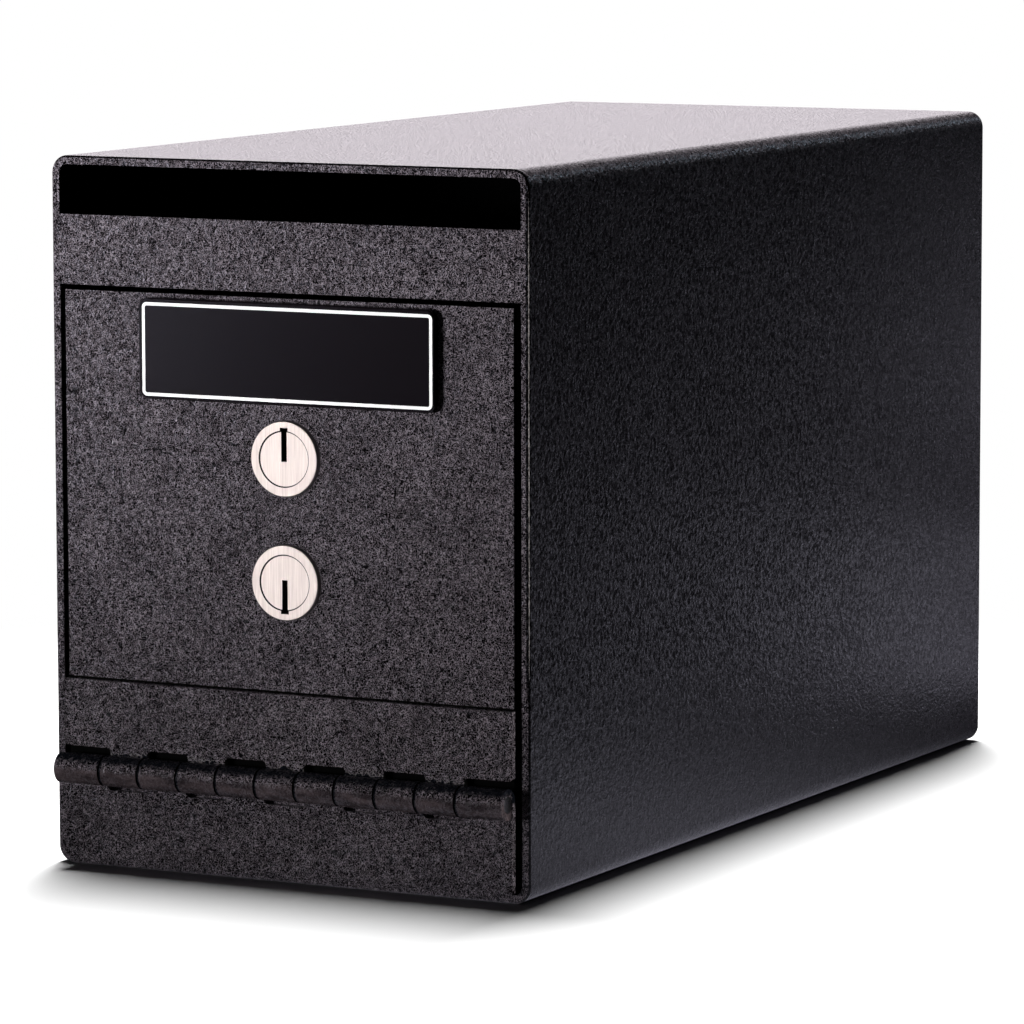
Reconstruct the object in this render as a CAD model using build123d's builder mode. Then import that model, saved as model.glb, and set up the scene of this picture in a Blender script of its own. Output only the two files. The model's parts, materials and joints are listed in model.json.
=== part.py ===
from build123d import *
import os
from math import cos, radians, sin, tan

# Small depository safe for under a counter: a wrapped sheet-steel box with a deposit slot
# above a drop-down door. The door hangs on a continuous hinge of rolled knuckles, and two
# key locks on its inside throw their bolts sideways behind bars on the side walls.
#
# Millimetres. +Z is up and the front faces -Y. The origin lies on the ground, below the
# middle of the whole safe. A depth is counted backwards from the front rim of the box.

os.makedirs("parts", exist_ok=True)

# Box
body_width = 152.0
body_height = 203.0
body_depth = 318.0
wall = 2.5
bend_radius = 5.0
rim_chamfer = 0.5
weld_corner = 3.0

# Front plates and the gaps around them
plate = 6.0
slot_height = 14.1
fascia_height = 19.9
door_top_gap = 1.5
door_left_gap = 1.75
door_right_gap = 2.35
plate_hinge_gap = 3.0

# Continuous hinge
leaf = 2.0
leaf_reach = 25.4
leaf_floor_gap = 0.5
pin_diameter = 4.8
turning_clearance = 0.06
hinge_overhang = 0.3
knuckle_pairs = 5
knuckle_pitch = 12.7
knuckle_gap = 0.6
curl_slit = 0.4
notch_clearance = 1.7
notch_chamfer = 0.7
leaf_groove = 0.6
leaf_groove_depth = 0.8

# Bars behind the door, which stop it and hold the bolts
bar_width = 12.0
bar_thickness = 4.0
bar_end_gap = 2.0
bar_chamfer = 0.8
door_seat = 0.3

# Deposit chute and baffle
sheet = 2.0
sheet_bend = 3.0
chute_run = 38.0
chute_fall = 34.0
chute_angle = 40.0
throat = 22.0
baffle_drop = 62.0
baffle_flange = 20.0
baffle_lip = 18.0
baffle_angle = 45.0

# Anchor holes in the base
anchor_diameter = 10.0
anchor_spacing_x = 90.0
anchor_spacing_y = 220.0

# Nameplate
nameplate_width = 94.6
nameplate_height = 28.6
nameplate_thickness = 2.0
nameplate_corner = 3.0
nameplate_chamfer = 0.4
nameplate_top_gap = 1.2
nameplate_shift = 0.9

# Lock noses and drums
lock_top_drop = 44.8
lock_spacing = 34.8
nose_diameter = 21.5
nose_proud = 1.8
nose_chamfer = 0.4
neck_diameter = 19.0
neck_clearance = 0.2
drum_diameter = 15.6
drum_recess = 0.1
flange_corners = 18.4
flange_sides = 8
flange_thickness = 1.5
barrel_diameter = 12.0
journal_diameter = 8.0
sliding_clearance = 0.3
key_slot = 1.75
key_slot_start = 0.75
key_notch_width = 2.5
key_reach = 8.8

# Lock cases
case_floor = 2.0
case_wall = 1.8
case_chamfer = 1.0
case_cavity = 14.0
case_left = 24.0
case_right = 42.0
case_top = 13.0
case_split = 1.0
cover = 2.0
ear_reach = 8.0
ear_height = 14.0
ear_rise = 4.0
ear_thickness = 2.5
ear_chamfer = 2.5
boss_diameter = 6.4
boss_overlap = 0.6
middle_boss_x = 16.0
screw_head_flats = 5.0
screw_head_sides = 6
screw_head_height = 2.0

# Lock bolts
bolt_size = 8.0
bolt_tail = 3.0
bolt_throw = 9.0
bolt_bar_gap = 0.5
bolt_end_gap = 1.0
bolt_chamfer = 0.8
tail_left = 13.0
talon_width = 7.0
talon_clearance = 0.4
stump_diameter = 3.5
stump_x = 14.0
stump_rise = 7.3
stump_land = 2.6

# Lock levers
lever_count = 5
lever = 1.0
lever_spacer = 0.2
lever_swing = 3.5
lever_post_diameter = 4.0
lever_post_x = -17.0
lever_post_z = -9.0
lever_eye = 2.5
eye_sides = 8
lever_web = 2.6
lever_head_rise = 5.0
belly_lift = 1.4
gate_clearance = 0.25
pocket_clearance = 0.45

# How near an edge has to lie to the height that it is looked for at
edge_search = 0.01

# Depths and places along Y
hinge_radius = pin_diameter / 2 + leaf
whole_depth = body_depth + 2 * hinge_radius
front_y = 2 * hinge_radius - whole_depth / 2
back_y = front_y + body_depth
hinge_y = front_y - hinge_radius
bolt_depth = plate + door_seat + bar_thickness + bolt_bar_gap
cavity_depth = plate + case_floor
cover_depth = cavity_depth + case_cavity

# Places across and up
inner_x = body_width / 2 - wall
inner_top = body_height - wall
slot_bottom = inner_top - slot_height
fascia_bottom = slot_bottom - fascia_height
door_top = fascia_bottom - door_top_gap
door_left = -inner_x + door_left_gap
door_right = inner_x - door_right_gap
door_x = (door_left + door_right) / 2
hinge_z = wall + leaf_floor_gap + leaf_reach
door_bottom = hinge_z + plate_hinge_gap
panel_top = hinge_z - plate_hinge_gap
hinge_length = door_right - door_left + 2 * hinge_overhang
hinge_left = door_x - hinge_length / 2


def front_plane(depth, x=0.0, z=0.0, side=1):
    """A sketch plane that faces the front, at a depth behind the rim."""
    return Plane(origin=(x, front_y + depth, z), x_dir=(side, 0, 0), z_dir=(0, -1, 0))


def side_plane(x, y, z=0.0):
    """A sketch plane that faces +X, with +Y to its right and +Z up."""
    return Plane(origin=(x, y, z), x_dir=(0, 1, 0), z_dir=(1, 0, 0))


def save(part, name):
    """Label a finished piece and write it."""
    part.label = name
    export_step(part, f"parts/{name}.step")


# Body: one sheet wrapped into a tube, open at the front and the back
with BuildPart() as body_shell:
    with BuildSketch(front_plane(0, z=body_height / 2)):
        RectangleRounded(body_width, body_height, bend_radius)
        RectangleRounded(
            2 * inner_x, body_height - 2 * wall, bend_radius - wall, mode=Mode.SUBTRACT
        )
    extrude(amount=-body_depth)
    chamfer(body_shell.faces().sort_by(Axis.Y)[0].outer_wire().edges(), rim_chamfer)
    with BuildSketch(Plane.XY.offset(wall)):
        with Locations((0, (front_y + back_y) / 2)):
            with GridLocations(anchor_spacing_x, anchor_spacing_y, 2, 2):
                Circle(anchor_diameter / 2)
    extrude(amount=-wall, mode=Mode.SUBTRACT)
save(body_shell.part, "body_shell")

# Back plate, set into the tube and welded round
with BuildPart() as back_panel:
    with BuildSketch(front_plane(body_depth, z=body_height / 2)):
        RectangleRounded(2 * inner_x, body_height - 2 * wall, weld_corner)
    extrude(amount=wall)
save(back_panel.part, "back_panel")

# Plate between the deposit slot and the door
with BuildPart() as upper_front_panel:
    with BuildSketch(front_plane(0, z=(slot_bottom + fascia_bottom) / 2)):
        Rectangle(2 * inner_x, fascia_height)
    extrude(amount=-plate)
save(upper_front_panel.part, "upper_front_panel")

# Plate behind the lower hinge leaf, welded to the floor and the left wall
with BuildPart() as lower_front_panel:
    with BuildSketch(front_plane(0)) as lower_face:
        with Locations(((door_right - inner_x) / 2, (wall + panel_top) / 2)):
            Rectangle(inner_x + door_right, panel_top - wall)
        fillet(lower_face.vertices().group_by(Axis.Y)[0], weld_corner)
    extrude(amount=-plate)
save(lower_front_panel.part, "lower_front_panel")

# Bars on both side walls, right behind the door
bar_bottom = door_bottom + bar_end_gap
bar_top = door_top - bar_end_gap
for side, name in ((-1, "left_jamb_bar"), (1, "right_jamb_bar")):
    with BuildPart() as jamb_bar:
        bar_x = side * (inner_x - bar_width / 2)
        with BuildSketch(front_plane(plate + door_seat, bar_x, (bar_bottom + bar_top) / 2)):
            Rectangle(bar_width, bar_top - bar_bottom)
        extrude(amount=-bar_thickness)
        inner_edges = jamb_bar.edges().filter_by(Axis.Z).group_by(Axis.X)[-1 if side < 0 else 0]
        chamfer(inner_edges, bar_chamfer)
    save(jamb_bar.part, name)

# Chute: a sheet that runs back from the slot and bends down
chute_end = plate + chute_run + chute_fall * cos(radians(chute_angle))
chute_line_z = slot_bottom - sheet / 2
with BuildPart() as deposit_chute:
    with BuildSketch(side_plane(-inner_x, front_y)):
        with BuildLine():
            FilletPolyline(
                (plate, chute_line_z),
                (plate + chute_run, chute_line_z),
                (chute_end, chute_line_z - chute_fall * sin(radians(chute_angle))),
                radius=sheet_bend,
            )
        trace(line_width=sheet)
    extrude(amount=2 * inner_x)
save(deposit_chute.part, "deposit_chute")

# Baffle: a sheet that hangs from the roof behind the chute, with a lip bent forwards
baffle_depth = chute_end + throat + sheet / 2
baffle_bend_z = inner_top - baffle_drop
lip_reach = baffle_lip * cos(radians(baffle_angle))
lip_fall = baffle_lip * sin(radians(baffle_angle))
baffle_side = inner_x - (bend_radius - wall)
with BuildPart() as anti_fish_baffle:
    with BuildSketch(side_plane(-baffle_side, front_y)):
        with BuildLine():
            FilletPolyline(
                (baffle_depth + baffle_flange, inner_top - sheet / 2),
                (baffle_depth, inner_top - sheet / 2),
                (baffle_depth, baffle_bend_z),
                (baffle_depth - lip_reach, baffle_bend_z - lip_fall),
                radius=sheet_bend,
            )
        trace(line_width=sheet)
    extrude(amount=2 * baffle_side)
save(anti_fish_baffle.part, "anti_fish_baffle")

# Hinge: the end knuckles take what is left of the length
knuckle_count = 2 * knuckle_pairs + 1
end_knuckle = (hinge_length - (knuckle_count - 2) * knuckle_pitch) / 2
notch_reach = hinge_radius + notch_clearance


def knuckle_span(index):
    """Left end and length of a knuckle, counted from the left of the hinge."""
    start = hinge_left
    length = end_knuckle
    if index > 0:
        start += end_knuckle + (index - 1) * knuckle_pitch + knuckle_gap / 2
        length = knuckle_pitch - knuckle_gap
    if index in (0, knuckle_count - 1):
        length = end_knuckle - knuckle_gap / 2
    return start, length


def hinge_leaf(way, first, leaf_edge):
    """A leaf whose own knuckles roll forwards round the pin. way is 1 for up, -1 for down."""
    front_face = pin_diameter / 2
    curl_end = hinge_radius - (front_face - curl_slit)
    curl_height = (hinge_radius**2 - (front_face - curl_slit) ** 2) ** 0.5
    with BuildPart() as hinge_piece:
        with BuildSketch(side_plane(hinge_left, hinge_y, hinge_z)):
            with Locations((front_face + leaf / 2, way * (notch_reach + leaf_edge) / 2)):
                Rectangle(leaf, leaf_edge - notch_reach)
        extrude(amount=hinge_length)
        for index in range(first, knuckle_count, 2):
            start, length = knuckle_span(index)
            with BuildSketch(side_plane(start, hinge_y, hinge_z)):
                Circle(hinge_radius)
                with Locations((hinge_radius - curl_end / 2, way * curl_height / 2)):
                    Rectangle(curl_end, curl_height, mode=Mode.SUBTRACT)
                Circle(pin_diameter / 2, mode=Mode.SUBTRACT)
                with Locations((front_face + leaf / 2, way * notch_reach / 2)):
                    Rectangle(leaf, notch_reach)
            extrude(amount=length)
        notch_z = hinge_z + way * notch_reach
        cross_edges = hinge_piece.edges().filter_by(Axis.Y)
        notch_edges = cross_edges.filter_by(lambda edge: abs(edge.center().Z - notch_z) < edge_search)
        chamfer(notch_edges, notch_chamfer)
    return hinge_piece.part


save(hinge_leaf(-1, 0, leaf_reach), "hinge_lower_leaf")
save(hinge_leaf(1, 1, leaf_reach), "hinge_upper_leaf")

with BuildPart() as hinge_pin:
    with BuildSketch(side_plane(hinge_left, hinge_y, hinge_z)):
        Circle(pin_diameter / 2 - turning_clearance)
    extrude(amount=hinge_length)
save(hinge_pin.part, "hinge_pin")

# Places on a lock, from its nose: x the way its bolt goes, z the way its key slot points
upper_lock_z = door_top - lock_top_drop
lower_lock_z = upper_lock_z - lock_spacing
lock_sites = ((upper_lock_z, 1, "upper_lock"), (lower_lock_z, -1, "lower_lock"))
case_bottom = lock_spacing / 2 - case_split / 2
case_x = (case_right - case_left) / 2
case_z = (case_top - case_bottom) / 2
case_width = case_left + case_right
case_height = case_top + case_bottom
boss_offset = case_wall + boss_diameter / 2 - boss_overlap
boss_z = case_top - boss_offset
cover_screws = (
    (boss_offset - case_left, boss_z),
    (middle_boss_x, boss_z),
    (case_right - boss_offset, boss_z),
)
ear_screws = (
    (-case_left - ear_reach / 2, ear_rise),
    (case_right + ear_reach / 2, ear_rise),
)
bolt_bottom = case_wall + sliding_clearance - case_bottom
bolt_tip = inner_x - bar_width - bolt_end_gap
stump_z = bolt_bottom + stump_rise
lever_end = stump_x + bolt_throw + stump_diameter / 2 + pocket_clearance + lever_web
bolt_head = lever_end + sliding_clearance
lever_depth = bolt_depth + bolt_tail + sliding_clearance
lever_pitch = lever + lever_spacer
stack_end = lever_depth + lever_count * lever_pitch

# Door plate, bored for the noses, with a groove above the hinge leaf
with BuildPart() as door_panel:
    with BuildSketch(front_plane(0)):
        with Locations((door_x, (door_top + door_bottom) / 2)):
            Rectangle(door_right - door_left, door_top - door_bottom)
        with Locations((0, upper_lock_z), (0, lower_lock_z)):
            Circle(neck_diameter / 2 + neck_clearance, mode=Mode.SUBTRACT)
    extrude(amount=-plate)
    with BuildSketch(front_plane(0, door_x, hinge_z + leaf_reach + leaf_groove / 2)):
        Rectangle(door_right - door_left, leaf_groove)
    extrude(amount=-leaf_groove_depth, mode=Mode.SUBTRACT)
save(door_panel.part, "door_panel")

# Nameplate, bare, on the top of the door
with BuildPart() as nameplate:
    nameplate_z = door_top - nameplate_top_gap - nameplate_height / 2
    with BuildSketch(front_plane(0, door_x + nameplate_shift, nameplate_z)):
        RectangleRounded(nameplate_width, nameplate_height, nameplate_corner)
    extrude(amount=nameplate_thickness)
    chamfer(nameplate.faces().sort_by(Axis.Y)[0].edges(), nameplate_chamfer)
save(nameplate.part, "nameplate")


def lock_nose(z, side):
    """The fixed ring on the door's face, its neck through the door, and the key's notch."""
    length = nose_proud + cavity_depth
    with BuildPart() as nose:
        with BuildSketch(front_plane(0, 0, z, side)):
            Circle(nose_diameter / 2)
        extrude(amount=nose_proud)
        chamfer(nose.faces().sort_by(Axis.Y)[0].edges(), nose_chamfer)
        with BuildSketch(front_plane(0, 0, z, side)):
            Circle(neck_diameter / 2)
        extrude(amount=-cavity_depth)
        with BuildSketch(front_plane(-nose_proud, 0, z, side)):
            Circle(drum_diameter / 2 + turning_clearance)
            with Locations((0, key_reach / 2)):
                Rectangle(key_notch_width, key_reach)
        extrude(amount=-length, mode=Mode.SUBTRACT)
    return nose.part


def lock_drum(z, side):
    """The piece that the key turns: round face, eight-sided flange, barrel and rear journal."""
    face_depth = drum_recess - nose_proud
    flange_depth = cavity_depth + sliding_clearance
    barrel_depth = flange_depth + flange_thickness
    journal_depth = cover_depth - sliding_clearance
    with BuildPart() as drum:
        for start, end, diameter in (
            (face_depth, flange_depth, drum_diameter),
            (barrel_depth, journal_depth, barrel_diameter),
            (journal_depth, cover_depth + cover, journal_diameter),
        ):
            with BuildSketch(front_plane(start, 0, z, side)):
                Circle(diameter / 2)
            extrude(amount=start - end)
        with BuildSketch(front_plane(flange_depth, 0, z, side)):
            RegularPolygon(flange_corners / 2, flange_sides)
        extrude(amount=-flange_thickness)
        with BuildSketch(front_plane(face_depth, 0, z, side)):
            slot_end = flange_corners / 2
            with Locations((0, (slot_end - key_slot_start) / 2)):
                Rectangle(key_slot, slot_end + key_slot_start)
        extrude(amount=face_depth - journal_depth, mode=Mode.SUBTRACT)
    return drum.part


def lock_case(z, side):
    """A cast box, open at the back, with two ears, screw bosses and the levers' post."""
    with BuildPart() as case:
        with BuildSketch(front_plane(plate, 0, z, side)) as ears:
            with Locations((case_x, ear_rise)):
                Rectangle(case_width + 2 * ear_reach, ear_height)
            chamfer(ears.vertices(), ear_chamfer)
        extrude(amount=-ear_thickness)
        with BuildSketch(front_plane(plate, 0, z, side)) as box:
            with Locations((case_x, case_z)):
                Rectangle(case_width, case_height)
            chamfer(box.vertices(), case_chamfer)
        extrude(amount=plate - cover_depth)
        with BuildSketch(front_plane(cavity_depth, 0, z, side)):
            with Locations((case_x, case_z)):
                Rectangle(case_width - 2 * case_wall, case_height - 2 * case_wall)
            with Locations(*cover_screws):
                Circle(boss_diameter / 2, mode=Mode.SUBTRACT)
            with Locations((lever_post_x, lever_post_z)):
                Circle(lever_post_diameter / 2, mode=Mode.SUBTRACT)
        extrude(amount=-case_cavity, mode=Mode.SUBTRACT)
        with BuildSketch(front_plane(plate, 0, z, side)):
            Circle(neck_diameter / 2 + neck_clearance)
        extrude(amount=-case_floor, mode=Mode.SUBTRACT)
        with BuildSketch(front_plane(bolt_depth - sliding_clearance, 0, z, side)):
            with Locations((case_right - case_wall / 2, bolt_bottom + bolt_size / 2)):
                Rectangle(2 * case_wall, bolt_size + 2 * sliding_clearance)
        extrude(amount=-bolt_size - 2 * sliding_clearance, mode=Mode.SUBTRACT)
    return case.part


def lock_cover(z, side):
    """The plate that closes the case and carries the drum's journal."""
    with BuildPart() as lid:
        with BuildSketch(front_plane(cover_depth, 0, z, side)) as outline:
            with Locations((case_x, case_z)):
                Rectangle(case_width, case_height)
            chamfer(outline.vertices(), case_chamfer)
            Circle(journal_diameter / 2 + turning_clearance, mode=Mode.SUBTRACT)
        extrude(amount=-cover)
    return lid.part


def lock_screws(z, side):
    """The six-sided heads of the cover's three screws and of the two in the case's ears."""
    with BuildPart() as screws:
        for sites, seat in (
            (cover_screws, cover_depth + cover),
            (ear_screws, plate + ear_thickness),
        ):
            with BuildSketch(front_plane(seat, 0, z, side)):
                with Locations(*sites):
                    RegularPolygon(screw_head_flats / 2, screw_head_sides, major_radius=False)
            extrude(amount=-screw_head_height)
    return screws.part


def lock_bolt(z, side):
    """A square bolt with a flat tail that carries the talon and the stump."""
    tail_top = -barrel_diameter / 2 - sliding_clearance
    land_left = stump_x - stump_diameter / 2 - stump_land
    land_top = stump_z + stump_diameter / 2
    with BuildPart() as bolt:
        with BuildSketch(front_plane(bolt_depth, 0, z, side)):
            with Locations(((bolt_tip + bolt_head) / 2, bolt_bottom + bolt_size / 2)):
                Rectangle(bolt_tip - bolt_head, bolt_size)
        extrude(amount=-bolt_size)
        tip_face = bolt.faces().sort_by(Axis.X)[-1 if side > 0 else 0]
        chamfer(tip_face.edges(), bolt_chamfer)
        with BuildSketch(front_plane(bolt_depth, 0, z, side)):
            with Locations(((bolt_head - tail_left) / 2, (bolt_bottom + tail_top) / 2)):
                Rectangle(bolt_head + tail_left, tail_top - bolt_bottom)
            with Locations(((bolt_head + land_left) / 2, (bolt_bottom + land_top) / 2)):
                Rectangle(bolt_head - land_left, land_top - bolt_bottom)
            talon_bottom = -key_reach - talon_clearance
            with Locations((-bolt_throw / 2, (tail_top + talon_bottom) / 2)):
                Rectangle(talon_width, tail_top - talon_bottom, mode=Mode.SUBTRACT)
        extrude(amount=-bolt_tail)
        with BuildSketch(front_plane(bolt_depth + bolt_tail, 0, z, side)):
            with Locations((stump_x, stump_z)):
                Circle(stump_diameter / 2)
        extrude(amount=bolt_depth + bolt_tail - stack_end)
    return bolt.part


def lock_levers(z, side):
    """A pack of levers, each with an eye on the post, a belly, two pockets and a gate."""
    post = (lever_post_x, lever_post_z)
    eye_hole = lever_post_diameter + 2 * turning_clearance
    eye_size = lever_post_diameter + 2 * lever_eye
    belly = barrel_diameter / 2 + belly_lift
    head_left = barrel_diameter / 2 + stump_land
    head_top = stump_z + lever_head_rise
    arm_bottom = bolt_bottom + sliding_clearance
    gate = stump_diameter + 2 * gate_clearance
    pocket = stump_diameter + 2 * pocket_clearance
    with BuildPart() as levers:
        for index in range(lever_count):
            depth = lever_depth + index * lever_pitch
            with BuildSketch(front_plane(depth, 0, z, side)):
                with Locations(post):
                    RegularPolygon(eye_size / 2, eye_sides, major_radius=False)
                with Locations(((lever_end + lever_post_x) / 2, (arm_bottom - belly) / 2)):
                    Rectangle(lever_end - lever_post_x, -belly - arm_bottom)
                with Locations(((lever_end + head_left) / 2, (arm_bottom + head_top) / 2)):
                    Rectangle(lever_end - head_left, head_top - arm_bottom)
                Circle(belly, mode=Mode.SUBTRACT)
                with Locations(post):
                    RegularPolygon(eye_hole / 2, eye_sides, major_radius=False, mode=Mode.SUBTRACT)
                with Locations((stump_x + bolt_throw / 2, stump_z)):
                    Rectangle(bolt_throw, gate, mode=Mode.SUBTRACT)
                for pocket_x in (stump_x, stump_x + bolt_throw):
                    rise = (pocket_x - lever_post_x) * tan(radians(lever_swing))
                    with Locations((pocket_x, stump_z - rise / 2)):
                        Rectangle(pocket, gate + rise, mode=Mode.SUBTRACT)
            extrude(amount=-lever)
    return levers.part


for site_z, side, name in lock_sites:
    save(lock_nose(site_z, side), f"{name}_nose")
    save(lock_drum(site_z, side), f"{name}_drum")
    save(lock_case(site_z, side), f"{name}_case")
    save(lock_cover(site_z, side), f"{name}_cover")
    save(lock_screws(site_z, side), f"{name}_screws")
    save(lock_bolt(site_z, side), f"{name}_bolt")
    save(lock_levers(site_z, side), f"{name}_levers")
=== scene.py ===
import json
import random
from math import cos, pi, radians, sin

import bmesh
import bpy
from mathutils import Matrix, Vector


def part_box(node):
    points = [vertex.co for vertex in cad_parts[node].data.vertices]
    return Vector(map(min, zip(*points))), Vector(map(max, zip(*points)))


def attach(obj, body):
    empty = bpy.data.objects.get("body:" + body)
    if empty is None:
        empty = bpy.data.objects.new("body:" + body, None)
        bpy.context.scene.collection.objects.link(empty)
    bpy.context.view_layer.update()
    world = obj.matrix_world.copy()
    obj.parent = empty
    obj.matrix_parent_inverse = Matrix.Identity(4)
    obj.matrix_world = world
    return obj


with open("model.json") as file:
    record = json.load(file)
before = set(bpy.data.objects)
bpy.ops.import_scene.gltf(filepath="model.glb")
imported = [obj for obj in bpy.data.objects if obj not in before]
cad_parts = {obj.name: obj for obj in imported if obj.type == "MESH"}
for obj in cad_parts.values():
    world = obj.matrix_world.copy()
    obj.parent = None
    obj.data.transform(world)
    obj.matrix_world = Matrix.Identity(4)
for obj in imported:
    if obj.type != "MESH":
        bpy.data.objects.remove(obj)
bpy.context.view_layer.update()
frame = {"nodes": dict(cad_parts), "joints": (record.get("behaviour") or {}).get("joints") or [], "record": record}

# The looks of a small depository safe: dark wrinkled powder coat, nickel lock faces, a bare black nameplate with a
# plain border line, and painted light and shade on the hinge and along the front edge.
# Metres, in the frame of the CAD model: +Z up, the front faces -Y.

MM = 0.001

# Places in the CAD model
shell_low, shell_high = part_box("body_shell")
door_low, door_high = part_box("door_panel")
plate_low, plate_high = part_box("nameplate")
leaf_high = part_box("hinge_upper_leaf")[1]
nose_boxes = [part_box(f"{name}_lock_nose") for name in ("upper", "lower")]
lock_centres = [((low.x + high.x) / 2, (low.z + high.z) / 2) for low, high in nose_boxes]
nose_front = nose_boxes[0][0].y
front_y = door_low.y
hinge_z = next(joint["pos_m"][2] for joint in frame["joints"] if joint["name"] == "door_swing")

# Camera: solved from the box's edges in the photograph
CAMERA_FROM_FRONT = Vector((805.24, -1425.58, 305.97)) * MM
CAMERA_AZIMUTH = radians(27.2633)
CAMERA_ELEVATION = radians(6.9998)
CAMERA_ROLL = radians(-0.1116)
CAMERA_LENS = 207.446
CAMERA_SENSOR = 36.0
CAMERA_CLIP_END = 50.0

# Box: sheet thickness, how far the outer coat reaches round the front edges, where the inside ends
# before the back, and the depth at which the store behind the door begins
WALL = 2.5 * MM
EDGE_BAND = 0.5 * MM
BACK_INSET = 4.0 * MM
STORE_DEPTH = 2.0 * MM

# Front edge of the shell: the two limits of a chamfer's direction forward, and its least outward
CHAMFER_FORWARD = (-0.95, -0.4)
CHAMFER_OUTWARD = 0.3

# Right front edge: how far the dark line of painted shade reaches from the corner, the height in which it fades
# out below, and the two ends of the painted highlight line
RIM_SHADE_REACH = 1.1 * MM
RIM_FADE = 8.0 * MM
HIGHLIGHT_LOW = 62.0 * MM
HIGHLIGHT_HIGH = 197.0 * MM

# Hinge: its barrel, its pairs of knuckles, how far its leaves stand out from the door's face, the strip at the
# open right end that is left out of the painted shade, and the direction that counts as along X
BARREL_RADIUS = 4.4 * MM
BARREL_SPARE = 0.1 * MM
KNUCKLE_PITCH = 12.7 * MM
KNUCKLE_PAIRS = 5
LEAF_PROUD = 2.0 * MM
OPEN_END = 0.1 * MM
ALONG_X = 0.9

# Round the leaves: the zones that lie in shade behind the leaf, in the groove and in the notches, where the shade
# is painted near black
BEHIND_DEPTH = 0.1 * MM
LEAF_EDGE = 0.3 * MM
GROOVE_DEPTH = 0.05 * MM
GROOVE_WIDTH = 1.0 * MM
NOTCH_DEPTH = 0.35 * MM

# Painted light and shade on the hinge: shade on top of the barrel, in the slits and at the leaf's root, a
# reflection of the floor on the barrel's lower round, and a highlight along the root's ragged edge. Heights are in
# radii above the pin, and wander by noise. Each fade is two stops of a ramp, a height and a share.
WANDER_SCALE = 900.0
WANDER = 0.7
# Streaks in the painted reflection of the floor on the barrel's lower round
SHEEN_STREAK_SCALE = 420.0
SHEEN_STREAK_STRETCH = (0.25, 1.0, 1.0)
SHEEN_STREAK_SPAN = (0.35, 0.65)
FLOOR_SHEEN_FADE = ((0.0, 0.85), (0.35, 0.0))
TOP_SHADE_FADE = ((0.45, 0.0), (0.75, 1.0))
SLIT_SHADE_WIDTH = 0.42 * MM
SLIT_WANDER = 0.2 * MM
ROOT_REACH = 4.7 * MM
ROOT_SCALE = 800.0
ROOT_WANDER = 1.1
ROOT_EDGE_WIDTH = 0.03
ROOT_FILL = 0.95

# Locks: radius and width of the dark ring round the drum, how fast it widens to the left, reach of the key's
# notch, and the depth behind the face from which slot and notch are painted black as shade
DRUM_RADIUS = 7.83 * MM
JOINT_WIDTH = 0.36 * MM
JOINT_LEAN = 0.009
NOTCH_REACH = 9.2 * MM
FACE_SPARE = 0.15 * MM

# Powder coat: pebbles on orange peel, with a mottle over both and creases in places. The pale flecks are painted
# highlights on the pebbles, and the dark is painted shade in their hollows and creases. Scales are features per
# metre, and the edges are levels between fleck, body and dark.
PEBBLE_SCALE = 1700.0
PEBBLE_DISTORTION = 0.4
PEBBLE_HEIGHT = 0.12 * MM
PEEL_SCALE = 700.0
PEEL_DISTORTION = 0.6
PEEL_HEIGHT = 0.30 * MM
FRONT_PEEL_HEIGHT = 0.12 * MM
PEEL_SHARE = 0.10
MOTTLE_SCALE = 60.0
MOTTLE_SHARE = 0.05
FLECK_EDGE = 0.08
DARK_EDGE = 0.16
CREASE_SCALE = 420.0
CREASE_DISTORTION = 0.8
CREASE_WIDTH = 0.02
CREASE_SPREAD = 380.0
CREASE_RARITY = 0.56

# Its gloss: roughness over the pebbles and shine over the peel, each from low to high
PAINT_IOR = 1.34
GLOSS_SPAN = (0.35, 0.65)
GLOSS_ROUGH = 0.35
GLOSS_SMOOTH = 0.21
SHINE_SPAN = (0.42, 0.60)
PEEL_DULL = 0.05
PEEL_BRIGHT = 1.0
PEEL_MEAN = (0.43, 0.43, 0.43)
INSIDE_ROUGHNESS = (0.9, 0.9, 0.9)
INSIDE_SPECULAR = (0.05, 0.05, 0.05)
FULL_SPECULAR = (0.5, 0.5, 0.5)

# Where the shell's coat is smooth, as stops of ramps: towards the back, at the foot and on top.
# Smoothing is the share of its relief that goes there.
SMOOTH_BACK = ((0.03, 0.0), (0.22, 0.85))
SMOOTH_FOOT = ((0.015, 0.8), (0.060, 0.0))
SMOOTH_TOP = ((0.5, 0.0), (0.95, 0.92))
SMOOTHING = 0.55

# Grain: the middle of a noise, the span of it that goes from low to high, and the features per
# metre of the nameplate, of matt coats and of castings
NOISE_MIDDLE = 0.5
GRAIN_SPAN = (0.3, 0.7)
PLATE_GRAIN = 2600.0
MATT_GRAIN = 3000.0
CAST_GRAIN = 700.0

# Streaks of a brush: features per metre, and how they are stretched along and across its way
STREAK_SCALE = 100.0
STREAK_ALONG = 0.7
STREAK_ACROSS = 26.0

# Relief of each grain: a height and a strength
PLATE_RELIEF = (0.01 * MM, 0.4)
CAST_RELIEF = (0.05 * MM, 0.3)
STREAK_RELIEF = (0.02 * MM, 0.35)

# Bare metals: their share of mirror, the rest being dull, and what the low grain keeps of the
# colour of brushed and cast ones
METAL_SHARE = 0.6
BRUSHED_DARK = 0.82
CAST_DARK = 0.8

# Roughness. A pair goes from low to high grain.
PLATE_ROUGHNESS = 0.22
MATT_ROUGHNESS = 0.5
NICKEL_ROUGHNESS = (0.50, 0.36)
PLATED_ROUGHNESS = (0.42, 0.28)
MACHINED_ROUGHNESS = (0.36, 0.22)
ZINC_ROUGHNESS = (0.55, 0.40)
BRASS_ROUGHNESS = (0.45, 0.30)
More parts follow.
